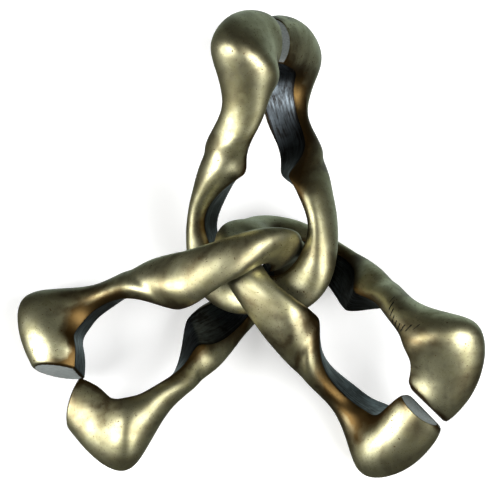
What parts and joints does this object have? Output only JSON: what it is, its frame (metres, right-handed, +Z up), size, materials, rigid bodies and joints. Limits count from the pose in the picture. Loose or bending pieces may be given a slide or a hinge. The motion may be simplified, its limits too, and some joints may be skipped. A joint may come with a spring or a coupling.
{
  "type": "ring disentanglement puzzle",
  "caption": "Disentanglement puzzle of alike twisted rings in dark brass, each open at a gap between round heads, linked loop end to loop end.",
  "frame": {"origin": "on the table, under the middle of the group's bounding box", "axes": "+Z up from the table the group rests on; +Y towards the heads of ring_top; +X towards the heads of ring_right"},
  "size_m": [0.0734, 0.074, 0.0376],
  "materials": {
    "antique_brass": "antique brass plating with dark patina, semi-gloss"
  },
  "bodies": {
    "ring_top": {"ring_top": "antique_brass"},
    "ring_left": {"ring_left": "antique_brass"},
    "ring_right": {"ring_right": "antique_brass"}
  },
  "joints": [
    {"name": "left_swing", "type": "hinge", "parent": "ring_top", "child": "ring_left", "pos_m": [0.00574, -0.00211, 0.01481], "axis": [0.07, 0.4199, 0.9049], "range_deg": [-16, 8]},
    {"name": "right_swing", "type": "hinge", "parent": "ring_top", "child": "ring_right", "pos_m": [0.00546, -0.00216, 0.00975], "axis": [0.07, 0.4199, 0.9049], "range_deg": [-32, 4]}
  ]
}
